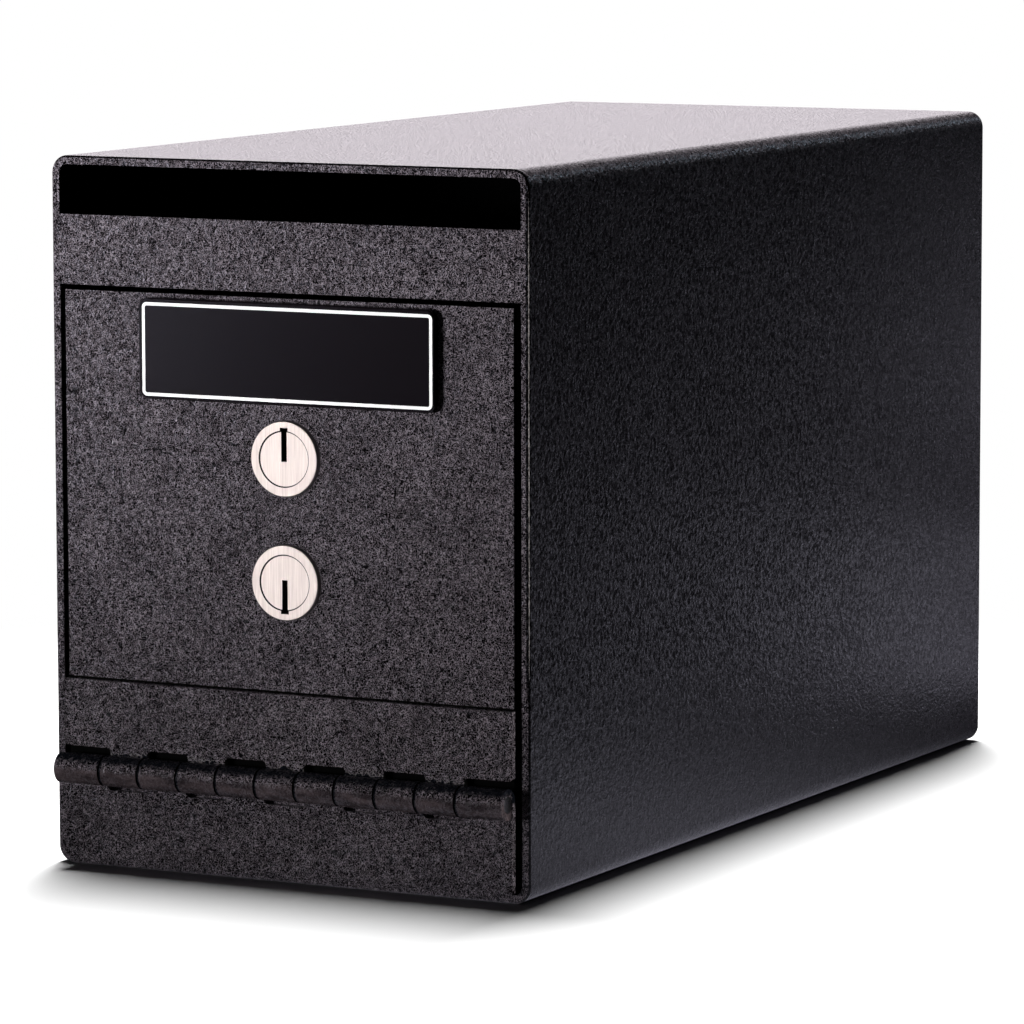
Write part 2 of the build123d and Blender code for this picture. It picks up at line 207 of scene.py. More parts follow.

# Colours, linear
# Coat tones: the dark is painted shade in hollows and creases, the body is the coat's own colour, and the fleck is
# a painted highlight on the pebbles
PAINTED_SHADE_DARK = (0.0040, 0.0033, 0.0040)
PAINT_BODY = (0.050, 0.042, 0.050)
FLECK_HIGHLIGHT = (0.330, 0.290, 0.325)
# Pale tint of the painted highlight line on the right front edge
EDGE_HIGHLIGHT_TINT = (0.36, 0.335, 0.335)
# Near black inside the box, in the shaded zones, on the knuckle ends and in the lock recesses: painted shade over
# a dark matt coat
PAINT_INSIDE_SHADE = (0.004, 0.004, 0.004)
STORE_DARK = (0.010, 0.009, 0.010)
STORE_LIGHT = (0.075, 0.068, 0.076)
# Painted shade on the barrel and at the leaf's root, then the painted highlight along the root's edge
BARREL_SHADE = (0.006, 0.007, 0.010)
ROOT_HIGHLIGHT = (0.20, 0.185, 0.19)
# Painted reflection of the floor on the barrel's lower round, its dark and light
FLOOR_SHEEN_DARK = (0.036, 0.028, 0.031)
FLOOR_SHEEN_LIGHT = (0.125, 0.096, 0.102)
PLATE_BLACK = (0.0040, 0.0026, 0.0038)
PLATE_GREY = (0.0085, 0.0062, 0.0082)
BORDER_WHITE = (0.94, 0.94, 0.94)
NICKEL = (0.90, 0.795, 0.75)
# Dark nose sides: painted shade
NICKEL_SIDE_SHADE = (0.22, 0.20, 0.19)
NICKEL_STREAK = (0.66, 0.56, 0.525)
CASE_ZINC = (0.52, 0.53, 0.54)
STEEL_PLATED = (0.56, 0.56, 0.54)
STEEL_MACHINED = (0.60, 0.59, 0.57)
LEVER_BRASS = (0.70, 0.52, 0.24)
WHITE = (1.0, 1.0, 1.0)
WARM = (1.0, 0.985, 0.96)
COOL = (0.84, 0.82, 1.0)
BLUE = (0.66, 0.82, 1.0)


class Nodes:
    """A node tree, with the nodes that surfaces, floor and world all need."""

    def __init__(self, owner):
        owner.use_nodes = True
        self.tree = owner.node_tree
        self.tree.nodes.clear()

    def link(self, source, target):
        self.tree.links.new(source, target)

    def feed(self, socket, value):
        """Set a socket to a number, colour or vector, or link an output to it."""
        if isinstance(value, (int, float)):
            socket.default_value = value
        elif isinstance(value, tuple):
            socket.default_value = (*value, 1.0) if len(socket.default_value) == 4 else value
        else:
            self.link(value, socket)

    def node(self, kind, **values):
        """A new node with values for its inputs. An underscore in a name is a space."""
        node = self.tree.nodes.new(kind)
        for name, value in values.items():
            self.feed(node.inputs[name.replace("_", " ")], value)
        return node

    def math(self, operation, first, second=0.0):
        """One operation on one or two values."""
        node = self.node("ShaderNodeMath")
        node.operation = operation
        self.feed(node.inputs[0], first)
        self.feed(node.inputs[1], second)
        return node.outputs["Value"]

    def above(self, value, limit):
        return self.math("GREATER_THAN", value, limit)

    def below(self, value, limit):
        return self.math("LESS_THAN", value, limit)

    def all_of(self, mask, *others):
        """One where every mask is one."""
        for other in others:
            mask = self.math("MULTIPLY", mask, other)
        return mask

    def axes(self, vector):
        """The three parts of a vector."""
        return self.node("ShaderNodeSeparateXYZ", Vector=vector).outputs

    def distance(self, place, centre):
        """How far a place is from a centre."""
        node = self.node("ShaderNodeVectorMath")
        node.operation = "DISTANCE"
        self.feed(node.inputs[0], place)
        self.feed(node.inputs[1], centre)
        return node.outputs["Value"]

    def fade(self, source, start, end, low, high):
        """From low to high, smoothly, while the source goes from start to end."""
        ends = {"From_Min": start, "From_Max": end, "To_Min": low, "To_Max": high}
        node = self.node("ShaderNodeMapRange", Value=source, **ends)
        node.interpolation_type = "SMOOTHSTEP"
        return node.outputs["Result"]

    def choose(self, factor, first, second):
        """Mix two shaders."""
        node = self.node("ShaderNodeMixShader")
        for socket, value in zip(node.inputs, (factor, first, second)):
            self.feed(socket, value)
        return node.outputs[0]


class Material(Nodes):
    """A surface: one principled shader, with the patterns that feed it."""

    def __init__(self, name):
        self.material = bpy.data.materials.new(name)
        super().__init__(self.material)
        self.shader = self.node("ShaderNodeBsdfPrincipled")
        self.node("ShaderNodeOutputMaterial", Surface=self.shader.outputs["BSDF"])
        self.coordinates = self.node("ShaderNodeTexCoord").outputs
        self.place = self.coordinates["Object"]

    def set(self, **values):
        """Set or link the shader's inputs. An underscore in a name is a space."""
        for name, value in values.items():
            self.feed(self.shader.inputs[name.replace("_", " ")], value)

    def facing(self):
        """The three parts of the surface's own direction."""
        return self.axes(self.coordinates["Normal"])

    def noise(self, scale, detail=2.0, roughness=0.5, stretch=None, distortion=0.0):
        """Noise with this many features per metre."""
        place = self.place
        if stretch:
            place = self.node("ShaderNodeMapping", Vector=place, Scale=stretch).outputs["Vector"]
        node = self.node("ShaderNodeTexNoise", Vector=place, Scale=scale, Detail=detail)
        self.feed(node.inputs["Roughness"], roughness)
        self.feed(node.inputs["Distortion"], distortion)
        return node.outputs["Fac"]

    def centred(self, noise, amount):
        """A noise about zero, this far from end to end."""
        return self.math("MULTIPLY", self.math("SUBTRACT", noise, NOISE_MIDDLE), amount)

    def ridges(self, noise):
        """How far a noise is from its middle: zero along winding lines."""
        return self.math("ABSOLUTE", self.math("SUBTRACT", noise, NOISE_MIDDLE))

    def ramp(self, source, *stops):
        """A colour ramp. Each stop is a place and a grey or a colour."""
        node = self.node("ShaderNodeValToRGB", Fac=source)
        elements = node.color_ramp.elements
        while len(elements) < len(stops):
            elements.new(0.5)
        for element, (place, colour) in zip(elements, stops):
            element.position = place
            shade = colour if isinstance(colour, tuple) else (colour,) * 3
            element.color = (*shade, 1.0)
        return node.outputs["Color"]

    def across(self, source, low, high, span=GRAIN_SPAN):
        """From low to high, each a grey or a colour, over a span of the source."""
        return self.ramp(source, (span[0], low), (span[1], high))

    def mix(self, factor, first, second):
        """Mix two colours."""
        node = self.node("ShaderNodeMix")
        node.data_type = "RGBA"
        for name, value in (("Factor", factor), ("A", first), ("B", second)):
            socket = [s for s in node.inputs if s.name == name and s.enabled][-1]
            self.feed(socket, value)
        return [s for s in node.outputs if s.enabled][0]

    def bump(self, height, distance, strength=1.0, before=None):
        """The surface's direction under a relief, on top of another one where given."""
        node = self.node("ShaderNodeBump", Height=height, Distance=distance, Strength=strength)
        if before:
            self.link(before, node.inputs["Normal"])
        return node.outputs["Normal"]


def inside_mask(m):
    """One on the surfaces that face into the box, where the coat is thin and matt, and near black as painted shade
    outside the store.
    """
    x, y, z = m.axes(m.place)
    return m.all_of(
        m.below(m.math("ABSOLUTE", x), shell_high.x - WALL + EDGE_BAND),
        m.below(z, shell_high.z - WALL + EDGE_BAND),
        m.above(y, front_y + EDGE_BAND),
        m.below(y, shell_high.y - BACK_INSET),
    )


def shade_zone_mask(m, depth, low, high):
    """One behind a depth and between two heights, save at the open right end: where shade is painted near black.
    """
    x, y, z = m.axes(m.place)
    return m.all_of(
        m.above(y, depth), m.above(z, low), m.below(z, high), m.below(x, leaf_high.x - OPEN_END)
    )


def end_mask(m):
    """One on the ends of the knuckles inside the barrel, which look along X, where shade is painted near black."""
    x, _, _ = m.axes(m.place)
    aside, _, _ = m.facing()
    inner = m.below(m.math("ABSOLUTE", x), leaf_high.x - OPEN_END)
    return m.all_of(inner, m.above(m.math("ABSOLUTE", aside), ALONG_X))


def joint_and_recess_shade_mask(m):
    """One on the ring joint round each drum, and in its slot and notch behind the face, which are painted black as
    shade.
    """
    x, y, z = m.axes(m.place)
    mask = 0.0
    for centre_x, centre_z in lock_centres:
        aside = m.math("SUBTRACT", x, centre_x)
        upward = m.math("SUBTRACT", z, centre_z)
        squares = m.math("ADD", m.math("POWER", aside, 2.0), m.math("POWER", upward, 2.0))
        radius = m.math("SQRT", squares)
        off_joint = m.math("ABSOLUTE", m.math("SUBTRACT", radius, DRUM_RADIUS))
        lean = m.math("MULTIPLY", aside, JOINT_LEAN)
        ring = m.below(m.math("ADD", off_joint, lean), JOINT_WIDTH / 2)
        deep = m.all_of(m.below(radius, NOTCH_REACH), m.above(y, nose_front + FACE_SPARE))
        mask = m.math("MAXIMUM", mask, m.math("MAXIMUM", ring, deep))
    return mask


def crease_shade_mask(m):
    """One on the short creases, which keep to some places and are painted dark as shade."""
    folds = m.ridges(m.noise(CREASE_SCALE, detail=1.0, distortion=CREASE_DISTORTION))
    here = m.above(m.noise(CREASE_SPREAD, detail=0.0), CREASE_RARITY)
    return m.all_of(m.below(folds, CREASE_WIDTH), here)


def slit_shade_mask(m, wander):
    """One in and beside the slits between the knuckles, where shade is painted."""
    x, _, _ = m.axes(m.place)
    slits = m.math("PINGPONG", m.math("ADD", x, KNUCKLE_PITCH / 2), KNUCKLE_PITCH / 2)
    slits = m.math("ADD", slits, m.math("MULTIPLY", wander, SLIT_WANDER))
    inner = m.below(m.math("ABSOLUTE", x), KNUCKLE_PITCH * KNUCKLE_PAIRS)
    return m.all_of(m.below(slits, SLIT_SHADE_WIDTH), inner)


def knuckle_light_and_shade(m, colour, wander):
    """The round of the knuckles: a painted reflection of the floor below and painted shade on top."""
    _, _, z = m.axes(m.place)
    height = m.math("DIVIDE", m.math("SUBTRACT", z, hinge_z), BARREL_RADIUS)
    height = m.math("ADD", height, wander)
    sheen_streaks = m.noise(SHEEN_STREAK_SCALE, detail=3.0, stretch=SHEEN_STREAK_STRETCH)
    floor_sheen = m.across(sheen_streaks, FLOOR_SHEEN_DARK, FLOOR_SHEEN_LIGHT, SHEEN_STREAK_SPAN)
    painted_round = m.mix(m.ramp(height, *FLOOR_SHEEN_FADE), colour, floor_sheen)
    return m.mix(m.ramp(height, *TOP_SHADE_FADE), painted_round, BARREL_SHADE)


def root_shade_and_highlight(m, colour):
    """The leaf where it meets the barrel: painted shade above the pin, with a painted highlight along a ragged
    edge.
    """
    _, _, z = m.axes(m.place)
    root = m.math("DIVIDE", m.math("SUBTRACT", z, hinge_z), ROOT_REACH)
    root = m.math("ADD", root, m.centred(m.noise(ROOT_SCALE), ROOT_WANDER))
    off_edge = m.math("ABSOLUTE", m.math("SUBTRACT", root, 1.0))
    highlighted_root = m.mix(m.below(off_edge, ROOT_EDGE_WIDTH), colour, ROOT_HIGHLIGHT)
    return m.mix(m.all_of(m.above(z, hinge_z), m.below(root, ROOT_FILL)), highlighted_root, BARREL_SHADE)


def barrel_light_and_shade(m, colour):
    """The hinge: painted light and shade on the barrel's round and in its slits, and painted shade at the leaf's
    root beside it.
    """
    wander = m.centred(m.noise(WANDER_SCALE), WANDER)
    painted_round = m.mix(slit_shade_mask(m, wander), knuckle_light_and_shade(m, colour, wander), BARREL_SHADE)
    _, y, _ = m.axes(m.place)
    on_barrel = m.below(y, front_y - LEAF_PROUD - BARREL_SPARE)
    return m.mix(on_barrel, root_shade_and_highlight(m, colour), painted_round)


def rim_edge_shade(m, colour):
    """The shell's chamfered front edge: a dark line of painted shade along the top and, wider, down the right."""
    aside, forward, up = m.facing()
    least, most = CHAMFER_FORWARD
    outward = m.above(m.math("MAXIMUM", up, aside), CHAMFER_OUTWARD)
    chamfer = m.all_of(m.above(forward, least), m.below(forward, most), outward)
    x, y, z = m.axes(m.place)
    right = m.all_of(
        m.above(x, shell_high.x - RIM_SHADE_REACH),
        m.below(y, front_y + RIM_SHADE_REACH),
        m.ramp(z, (HIGHLIGHT_LOW - RIM_FADE, 0.0), (HIGHLIGHT_LOW, 1.0)),
    )
    return m.mix(m.math("MAXIMUM", right, chamfer), colour, PAINTED_SHADE_DARK)


def shell_smoothness(m):
    """How smooth the shell's coat is, from none to one."""
    _, y, z = m.axes(m.place)
    _, _, up = m.facing()
    smooth = m.math("MAXIMUM", m.ramp(y, *SMOOTH_BACK), m.ramp(z, *SMOOTH_FOOT))
    return m.math("MAXIMUM", smooth, m.ramp(up, *SMOOTH_TOP))


def inside_and_shade_colour(m, level):
    """The coat inside: paler and pebbled in the store behind the door, and elsewhere near black, which is painted
    shade.
    """
    _, y, z = m.axes(m.place)
    store = m.all_of(m.above(y, front_y + STORE_DEPTH), m.below(z, door_high.z))
    return m.mix(store, PAINT_INSIDE_SHADE, m.ramp(level, (0.0, STORE_LIGHT), (DARK_EDGE, STORE_DARK)))


def wrinkle_paint(name, peel_height, shaded_zones=(), barrel=False, shell=False):
    """Dark powder coat: fine pebbles on a coarser orange peel. It is pale where painted highlights stand on the
    pebbles and dark where painted shade lies in their hollows, with short creases of painted shade.

    It is matt inside the box and in each shaded zone, which lies behind a depth and between two heights, and near
    black there as painted shade, save in the store behind the door. The hinge's leaves have painted light and
    shade on the barrel. The shell grows smoother towards the back and on top, and its front edge has a dark line
    of painted shade.
    """
    m = Material(name)
    pebble = m.noise(PEBBLE_SCALE, detail=0.0, distortion=PEBBLE_DISTORTION)
    peel = m.noise(PEEL_SCALE, detail=1.0, distortion=PEEL_DISTORTION)
    mottle = m.noise(MOTTLE_SCALE, detail=3.0)
    level = m.math("SUBTRACT", m.ridges(pebble), m.centred(peel, PEEL_SHARE))
    level = m.math("SUBTRACT", level, m.centred(mottle, MOTTLE_SHARE))
    colour = m.ramp(level, (0.0, FLECK_HIGHLIGHT), (FLECK_EDGE, PAINT_BODY), (DARK_EDGE, PAINTED_SHADE_DARK))
    colour = m.mix(crease_shade_mask(m), colour, PAINTED_SHADE_DARK)
    gloss = m.across(pebble, GLOSS_ROUGH, GLOSS_SMOOTH, GLOSS_SPAN)
    shine = m.across(peel, PEEL_DULL, PEEL_BRIGHT, SHINE_SPAN)
    inside = inside_mask(m)
    for zone in shaded_zones:
        inside = m.math("MAXIMUM", inside, shade_zone_mask(m, *zone))
    if barrel:
        inside = m.math("MAXIMUM", inside, end_mask(m))
        colour = barrel_light_and_shade(m, colour)
    if shell:
        colour = rim_edge_shade(m, colour)
        smooth = shell_smoothness(m)
        shine = m.mix(smooth, shine, PEEL_MEAN)
        relief = m.math("SUBTRACT", 1.0, m.math("MULTIPLY", smooth, SMOOTHING))
        peel = m.math("MULTIPLY", peel, relief)
        pebble = m.math("MULTIPLY", pebble, relief)
    m.set(
        Base_Color=m.mix(inside, colour, inside_and_shade_colour(m, level)),
        Roughness=m.mix(inside, gloss, INSIDE_ROUGHNESS),
        Specular_IOR_Level=m.mix(inside, shine, INSIDE_SPECULAR),
        IOR=PAINT_IOR,
        Normal=m.bump(pebble, PEBBLE_HEIGHT, before=m.bump(peel, peel_height)),
    )
    return m.material


def darker(colour, share):
    """A colour that keeps this share of its light."""
    return tuple(share * part for part in colour)


def satin_black(name):
    """Nameplate face: near-black satin with a faint grain."""
    m = Material(name)
    grain = m.noise(PLATE_GRAIN, detail=1.0)
    m.set(
        Base_Color=m.across(grain, PLATE_BLACK, PLATE_GREY),
        Roughness=PLATE_ROUGHNESS,
        Normal=m.bump(grain, *PLATE_RELIEF),
    )
    return m.material


def matt(name, colour, spread):
    """A matt coat with a fine grain, darker in places by the spread."""
    m = Material(name)
    grain = m.noise(MATT_GRAIN, detail=1.0)
    m.set(Base_Color=m.across(grain, darker(colour, 1 - spread), colour), Roughness=MATT_ROUGHNESS)
    return m.material


def streaks(m, stretch):
    """The streaks that a brush leaves."""
    return m.noise(STREAK_SCALE, detail=4.0, roughness=0.7, stretch=stretch)


def brushed(name, colour, roughness):
    """Metal brushed along X, with fine streaks."""
    m = Material(name)
    streak = streaks(m, (STREAK_ALONG, STREAK_ACROSS, STREAK_ACROSS))
    m.set(
        Base_Color=m.across(streak, darker(colour, BRUSHED_DARK), colour),
        Roughness=m.across(streak, *roughness),
        Metallic=METAL_SHARE,
        Normal=m.bump(streak, *STREAK_RELIEF),
    )
    return m.material


def lock_nickel(name):
    """Satin nickel brushed along Z: pale faces, metal sides darkened as painted shade, slot and notch painted
    black as shade, and a black joint.
    """
    m = Material(name)
    streak = streaks(m, (STREAK_ACROSS, STREAK_ACROSS, STREAK_ALONG))
    black = joint_and_recess_shade_mask(m)
    _, y, _ = m.axes(m.place)
    side = m.above(y, nose_front + FACE_SPARE)
    shade = m.mix(side, m.across(streak, NICKEL_STREAK, NICKEL), NICKEL_SIDE_SHADE)
    m.set(
        Base_Color=m.mix(black, shade, PAINT_INSIDE_SHADE),
        Roughness=m.across(streak, *NICKEL_ROUGHNESS),
        Specular_IOR_Level=m.mix(black, FULL_SPECULAR, INSIDE_SPECULAR),
        Metallic=m.math("SUBTRACT", side, black),
        Normal=m.bump(streak, *STREAK_RELIEF),
    )
    return m.material


def cast(name, colour, roughness):
    """Die-cast or stamped metal with a fine grain."""
    m = Material(name)
    grain = m.noise(CAST_GRAIN, detail=3.0)
    m.set(
        Base_Color=m.across(grain, darker(colour, CAST_DARK), colour),
        Roughness=m.across(grain, *roughness),
        Metallic=METAL_SHARE,
        Normal=m.bump(grain, *CAST_RELIEF),
    )
    return m.material


# Finish of every CAD node. A zone of painted shade is a depth and two heights.
leaf_edge = leaf_high.z - LEAF_EDGE
behind_leaf = (front_y - BEHIND_DEPTH, door_low.z, leaf_edge)
groove = (front_y + GROOVE_DEPTH, leaf_edge, leaf_high.z + GROOVE_WIDTH)
notches = (front_y - LEAF_PROUD + NOTCH_DEPTH, hinge_z, leaf_high.z)
paint_leaf = wrinkle_paint("powder_coat_leaf", FRONT_PEEL_HEIGHT, (notches,), barrel=True)
plated = brushed("steel_plated", STEEL_PLATED, PLATED_ROUGHNESS)
machined = brushed("steel_machined", STEEL_MACHINED, MACHINED_ROUGHNESS)
finish = {
    "powder_coat": wrinkle_paint("powder_coat", FRONT_PEEL_HEIGHT),
    "steel_pin": machined,
    "nameplate_black": satin_black("nameplate_black"),
    "lock_nickel": lock_nickel("lock_nickel"),
    "case_zinc": cast("case_zinc", CASE_ZINC, ZINC_ROUGHNESS),
    "steel_cover": plated,
    "steel_screws": plated,
    "steel_bolt": machined,
    "lever_brass": cast("lever_brass", LEVER_BRASS, BRASS_ROUGHNESS),
}
own_finish = {
    "body_shell": wrinkle_paint("powder_coat_shell", PEEL_HEIGHT, shell=True),
    "door_panel": wrinkle_paint("powder_coat_door", FRONT_PEEL_HEIGHT, (behind_leaf, groove)),
    "hinge_upper_leaf": paint_leaf,
    "hinge_lower_leaf": paint_leaf,
}
for entry in frame["record"]["subparts"]:
    mesh = frame["nodes"][entry["node"]].data
    mesh.materials.clear()
    mesh.materials.append(own_finish.get(entry["node"], finish[entry["material_slot"]]))


def mesh_piece(name, build, material, body):
    """Make a mesh with a bmesh function and let it ride on a body."""
    mesh = bpy.data.meshes.new(name)
    bm = bmesh.new()
    build(bm)
    bmesh.ops.recalc_face_normals(bm, faces=bm.faces)
    bm.to_mesh(mesh)
    bm.free()
    mesh.materials.append(material)
    piece = bpy.data.objects.new(name, mesh)
    bpy.context.scene.collection.objects.link(piece)
    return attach(piece, body)


# Border line of the nameplate: a thin raised band with round corners, and the margins that it
# keeps from the plate's lower left and upper right corners
BORDER_WIDTH = 0.92 * MM
BORDER_INSET_LOW = Vector((1.3, 0, 0.9)) * MM
BORDER_INSET_HIGH = Vector((0.8, 0, 1.25)) * MM
BORDER_RADIUS = 1.5 * MM
BORDER_LIFT = 0.06 * MM
BORDER_SPREAD = 0.05
CORNER_STEPS = 8


def rounded_outline(low, high, radius):
    """Points round a rectangle with round corners, in x and z, counterclockwise."""
    points = []
    corners = ((high.x, high.z, 0), (low.x, high.z, 1), (low.x, low.z, 2), (high.x, low.z, 3))
    for x, z, turn in corners:
        centre_x = x - radius if turn in (0, 3) else x + radius
        centre_z = z - radius if turn in (0, 1) else z + radius
        for step in range(CORNER_STEPS + 1):
            angle = (turn + step / CORNER_STEPS) * pi / 2
            points.append((centre_x + radius * cos(angle), centre_z + radius * sin(angle)))
    return points


def build_border(bm):
    """A closed band: the outer side, the face, the inner side and the back."""
    band = Vector((BORDER_WIDTH, 0, BORDER_WIDTH))
    low = plate_low + BORDER_INSET_LOW
    high = plate_high - BORDER_INSET_HIGH
    outer = rounded_outline(low, high, BORDER_RADIUS)
    inner = rounded_outline(low + band, high - band, BORDER_RADIUS - BORDER_WIDTH)
    back_y = plate_low.y
    face_y = back_y - BORDER_LIFT
    rings = []
    for outline, y in ((outer, back_y), (outer, face_y), (inner, face_y), (inner, back_y)):
        rings.append([bm.verts.new((x, y, z)) for x, z in outline])
    count = len(outer)
    for first, second in zip(rings, rings[1:] + rings[:1]):
        for i in range(count):
            j = (i + 1) % count
            bm.faces.new((first[i], first[j], second[j], second[i]))


border_paint = matt("border_white", BORDER_WHITE, BORDER_SPREAD)
border = mesh_piece("nameplate_border", build_border, border_paint, "door")

# Painted highlight down the right front edge: a pale wavy sliver that lies on the shell's chamfer. Its middle,
# width and wander are shares of the chamfer, and it tapers over one part in so many at each end.
RIM_CHAMFER = 0.5 * MM
HIGHLIGHT_STEPS = 180
HIGHLIGHT_MIDDLE = 0.45
HIGHLIGHT_WANDER = 0.05
HIGHLIGHT_WIDTH = 0.62
HIGHLIGHT_LEAST = 0.25
HIGHLIGHT_TAPER = 8
HIGHLIGHT_LIFT = 0.03 * MM
HIGHLIGHT_SPREAD = 0.6
HIGHLIGHT_SEED = 5


def build_edge_highlight(bm):
    """Each row crosses the chamfer from its front, where along is 0, to its side, where it is 1."""
    wave = random.Random(HIGHLIGHT_SEED)
    rows = []
    for step in range(HIGHLIGHT_STEPS + 1):
        share = step / HIGHLIGHT_STEPS
        z = HIGHLIGHT_LOW + (HIGHLIGHT_HIGH - HIGHLIGHT_LOW) * step / HIGHLIGHT_STEPS
        taper = min(1.0, HIGHLIGHT_TAPER * share, HIGHLIGHT_TAPER * (1 - share))
        half = HIGHLIGHT_WIDTH / 2 * taper * wave.uniform(HIGHLIGHT_LEAST, 1.0)
        middle = HIGHLIGHT_MIDDLE + wave.uniform(-HIGHLIGHT_WANDER, HIGHLIGHT_WANDER)
        row = []
        for along in (middle - half, middle + half):
            x = shell_high.x - RIM_CHAMFER * (1 - along) + HIGHLIGHT_LIFT
            y = front_y + RIM_CHAMFER * along - HIGHLIGHT_LIFT
            row.append(bm.verts.new((x, y, z)))
            row.append(bm.verts.new((x - 2 * HIGHLIGHT_LIFT, y + 2 * HIGHLIGHT_LIFT, z)))
        rows.append(row)
    for first, second in zip(rows, rows[1:]):
        for a, b in ((0, 2), (2, 3), (3, 1), (1, 0)):
            bm.faces.new((first[a], first[b], second[b], second[a]))
    for row in (rows[0], rows[-1]):
        bm.faces.new([row[i] for i in (0, 2, 3, 1)])


edge_highlight_paint = matt("painted_edge_highlight", EDGE_HIGHLIGHT_TINT, HIGHLIGHT_SPREAD)
edge_wear = mesh_piece("edge_wear", build_edge_highlight, edge_highlight_paint, "safe_body")

# Floor: what the camera sees of it is lit and shaded near the safe and plain white from there on.
# Other rays meet a dim floor, and gloss a glow under the safe.
FLOOR_RADIUS = 6.0
FLOOR_SEGMENTS = 96
FLOOR_DROP = 0.02 * MM
FLOOR_SEEN = (0.8, 0.8, 0.8)
FLOOR_BOUNCE = (0.015, 0.015, 0.015)
SHADOW_CENTRE = (0.0, 0.0, 0.0)
SHADOW_NEAR = 0.30
SHADOW_FAR = 0.42
GLOW = 0.64
GLOW_TINT = (0.84, 0.83, 1.0)
GLOW_CENTRE = (0.12, -0.05, 0.0)
GLOW_RADIUS = 0.30


def floor_material():
    """What each kind of ray sees of the floor."""
    material = bpy.data.materials.new("floor_white")
    n = Nodes(material)
    place = n.node("ShaderNodeTexCoord").outputs["Object"]
    path = n.node("ShaderNodeLightPath").outputs
    bounce = n.node("ShaderNodeBsdfDiffuse", Color=FLOOR_BOUNCE).outputs[0]
    lit = n.node("ShaderNodeBsdfDiffuse", Color=FLOOR_SEEN).outputs[0]
    white = n.node("ShaderNodeEmission").outputs[0]
    strength = n.fade(n.distance(place, GLOW_CENTRE), 0.0, GLOW_RADIUS, GLOW, 0.0)
    glow = n.node("ShaderNodeEmission", Color=GLOW_TINT, Strength=strength).outputs[0]
    away = n.fade(n.distance(place, SHADOW_CENTRE), SHADOW_NEAR, SHADOW_FAR, 0.0, 1.0)
    seen = n.choose(away, lit, white)
    unseen = n.choose(path["Is Glossy Ray"], bounce, glow)
    n.node("ShaderNodeOutputMaterial", Surface=n.choose(path["Is Camera Ray"], unseen, seen))
    return material


def stage_floor():
    """A round floor just under the safe, which is part of the stage."""
    mesh = bpy.data.meshes.new("floor")
    bm = bmesh.new()
    bmesh.ops.create_circle(bm, cap_ends=True, segments=FLOOR_SEGMENTS, radius=FLOOR_RADIUS)
    bm.to_mesh(mesh)
    bm.free()
    mesh.materials.append(floor_material())
    floor = bpy.data.objects.new("floor", mesh)
    floor.location.z = shell_low.z - FLOOR_DROP
    bpy.context.scene.collection.objects.link(floor)
    return floor


floor = stage_floor()

# World: even dim light, and a bright backdrop that gloss alone sees. It lies to the left, behind
# and low, and each span is where a part of the direction takes it from none to full.
AMBIENT = 0.004
AMBIENT_TINT = (0.95, 0.98, 1.05)
BACKDROP = 1.9
BACKDROP_REST = 0.02
BACKDROP_TINT = (1.0, 0.925, 0.985)
BACKDROP_LEFT = (-0.10, -0.36)
BACKDROP_BEHIND = (-0.2, 0.4)
BACKDROP_LOW = (0.50, 0.22)


def surroundings():
    """White to the camera, even dim light for all, and a bright backdrop in the reflections."""
    world = bpy.data.worlds.new("studio")
    bpy.context.scene.world = world
    n = Nodes(world)
    direction = n.axes(n.node("ShaderNodeTexCoord").outputs["Generated"])
    spans = (BACKDROP_LEFT, BACKDROP_BEHIND, BACKDROP_LOW)
    sheet = n.all_of(*(n.fade(part, *span, 0.0, 1.0) for part, span in zip(direction, spans)))
    bright = n.fade(sheet, 0.0, 1.0, BACKDROP_REST, BACKDROP)
    path = n.node("ShaderNodeLightPath").outputs
    ambient = n.node("ShaderNodeBackground", Color=AMBIENT_TINT, Strength=AMBIENT).outputs[0]
    backdrop = n.node("ShaderNodeBackground", Color=BACKDROP_TINT, Strength=bright).outputs[0]
    white = n.node("ShaderNodeBackground", Color=WHITE, Strength=1.0).outputs[0]
    unseen = n.choose(path["Is Glossy Ray"], ambient, backdrop)
    n.node("ShaderNodeOutputWorld", Surface=n.choose(path["Is Camera Ray"], unseen, white))


surroundings()


def softbox(
    name,
    place,
    aim,
    size,
    power,
    tint=WHITE,
    spread=180.0,
    only=None,
    shaded_by=None,
    shines=True,
    lights=True,
):
    """An area lamp aimed at a point. It may light or be shaded by one collection alone.

    Without shines it stays out of gloss, and without lights it shows in gloss alone.
    """
    lamp = bpy.data.lights.new(name, "AREA")
    lamp.shape = "RECTANGLE"
    lamp.size, lamp.size_y = size
    lamp.energy = power
    lamp.color = tint
    lamp.spread = radians(spread)
    light = bpy.data.objects.new(name, lamp)
    light.location = place
    light.rotation_euler = (Vector(aim) - Vector(place)).to_track_quat("-Z", "Y").to_euler()
    light.visible_glossy = shines
    light.visible_diffuse = lights
    bpy.context.scene.collection.objects.link(light)
    if only:
        light.light_linking.receiver_collection = only
    if shaded_by:
        light.light_linking.blocker_collection = shaded_by


def collection(name, pieces):
    """A collection of the pieces that a lamp may light, or be shaded by."""
    group = bpy.data.collections.new(name)
    for piece in pieces:
        group.objects.link(piece)
    return group


LOCK_FACES = ("upper_lock_nose", "upper_lock_drum", "lower_lock_nose", "lower_lock_drum")
pale_parts = [frame["nodes"][name] for name in LOCK_FACES]
leaves = [frame["nodes"][name] for name in ("hinge_upper_leaf", "hinge_lower_leaf")]
safe_parts = [o for o in bpy.data.objects if o.type == "MESH" and o != floor]
safe_only = collection("safe_only", safe_parts)
floor_only = collection("floor_only", [floor])
flat_only = collection("flat_only", [o for o in safe_parts if o not in pale_parts])
pale_only = collection("pale_only", [*pale_parts, border, edge_wear])
hinge_only = collection("hinge_only", [edge_wear, *leaves])

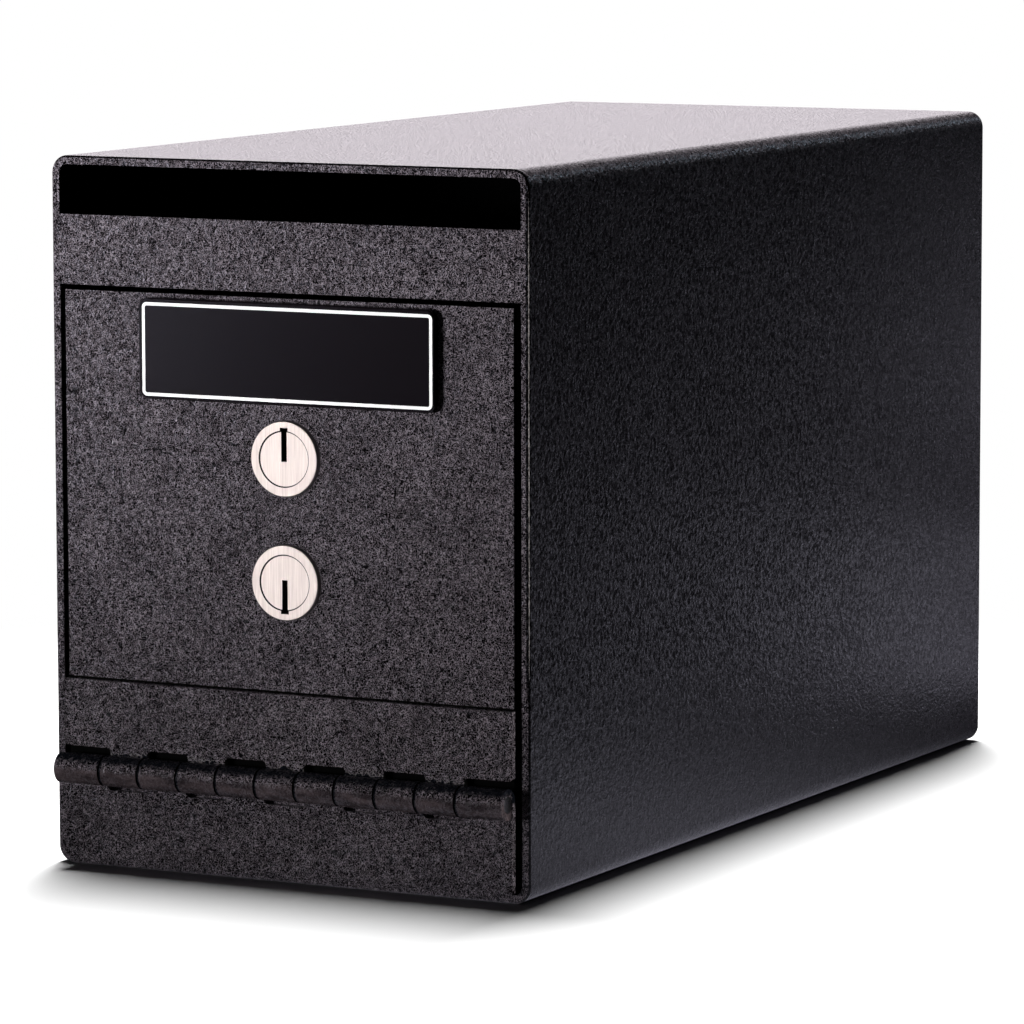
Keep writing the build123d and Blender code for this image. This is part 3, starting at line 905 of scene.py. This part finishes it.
# Lamps. A stand is a place, the point it aims at and a size, and powers are in watts. Two lamps
# share the stand overhead, one for the safe and a stronger one that casts its shadow on the floor.
# The key, its glint and the pale card light the front, the one at the hinge's end catches the hinge and the
# painted edge highlight from the right, and the rear ones shine in the right side's coat.
OVERHEAD_STAND = ((-0.254, 0.553, 2.667), (-0.254, 0.553, 0.0), (0.63, 1.19))
OVERHEAD_POWER = 47.0
FLOOR_POWER = 188.0
KEY_STAND = ((-0.62, -0.72, 0.135), (0.0, front_y, 0.25), (0.24, 0.24))
KEY_SPREAD = 42.0
KEY_POWER = 0.50
GLINT_POWER = 0.10
PALE_STAND = ((-0.35, -1.10, 0.20), (-0.03, front_y, 0.10), (0.30, 0.30))
PALE_POWER = 6.4
HINGE_STAND = ((0.90, front_y - 0.07, 0.12), (leaf_high.x, front_y, 0.04), (0.08, 0.08))
HINGE_POWER = 4.0
SIDE_NEAR = (shell_high.x, 0.02, 0.08)
SIDE_MIDDLE = (shell_high.x, 0.13, 0.08)
REAR_LAMPS = (
    ("rear_card", (0.16, 0.30, 0.06), SIDE_MIDDLE, (0.10, 0.12), 0.0062, COOL),
    ("rear_foot", (0.15, 0.25, 0.008), SIDE_NEAR, (0.08, 0.014), 0.0024, COOL),
    ("rear_low", (0.15, 0.25, 0.029), SIDE_NEAR, (0.10, 0.056), 0.0091, COOL),
    ("rear_middle", (0.20, 0.55, 0.10), SIDE_NEAR, (0.05, 0.12), 0.017, COOL),
    ("rear_far", (0.55, 1.25, 0.30), SIDE_NEAR, (0.20, 0.15), 0.029, BLUE),
)
HIGH_STAND = ((0.525, 1.375, 0.80), SIDE_NEAR, (0.30, 0.30))
HIGH_POWER = 0.8


def light_scene():
    """Set up every lamp. Of those above and in front, only the key's glint shows in gloss."""
    softbox("overhead", *OVERHEAD_STAND, OVERHEAD_POWER, only=safe_only, shines=False)
    softbox("floor_lamp", *OVERHEAD_STAND, FLOOR_POWER, only=floor_only, shines=False)
    softbox("key", *KEY_STAND, KEY_POWER, WARM, KEY_SPREAD, safe_only, flat_only, shines=False)
    softbox("key_glint", *KEY_STAND, GLINT_POWER, COOL, KEY_SPREAD, safe_only, flat_only)
    softbox("pale_card", *PALE_STAND, PALE_POWER, only=pale_only, shines=False)
    softbox("hinge_end", *HINGE_STAND, HINGE_POWER, WARM, only=hinge_only, shines=False)
    for name, place, aim, size, power, tint in REAR_LAMPS:
        softbox(name, place, aim, size, power, tint, only=safe_only)
    softbox("rear_high", *HIGH_STAND, HIGH_POWER, BLUE, only=safe_only, lights=False)


light_scene()


def camera():
    """The photograph's camera, from its place and angles."""
    sideways = sin(CAMERA_AZIMUTH) * cos(CAMERA_ELEVATION)
    forward = cos(CAMERA_AZIMUTH) * cos(CAMERA_ELEVATION)
    back = Vector((sideways, -forward, sin(CAMERA_ELEVATION)))
    right = Vector((0, 0, 1)).cross(back).normalized()
    up = back.cross(right)
    rolled_right = cos(CAMERA_ROLL) * right + sin(CAMERA_ROLL) * up
    rolled_up = cos(CAMERA_ROLL) * up - sin(CAMERA_ROLL) * right
    turn = Matrix((rolled_right, rolled_up, back)).transposed()
    place = CAMERA_FROM_FRONT + Vector((0, front_y, 0))
    data = bpy.data.cameras.new("camera")
    data.sensor_width = CAMERA_SENSOR
    data.lens = CAMERA_LENS
    data.clip_end = CAMERA_CLIP_END
    view = bpy.data.objects.new("camera", data)
    view.matrix_world = Matrix.Translation(place) @ turn.to_4x4()
    bpy.context.scene.collection.objects.link(view)
    bpy.context.scene.camera = view


camera()
bpy.context.scene.view_settings.view_transform = "Standard"
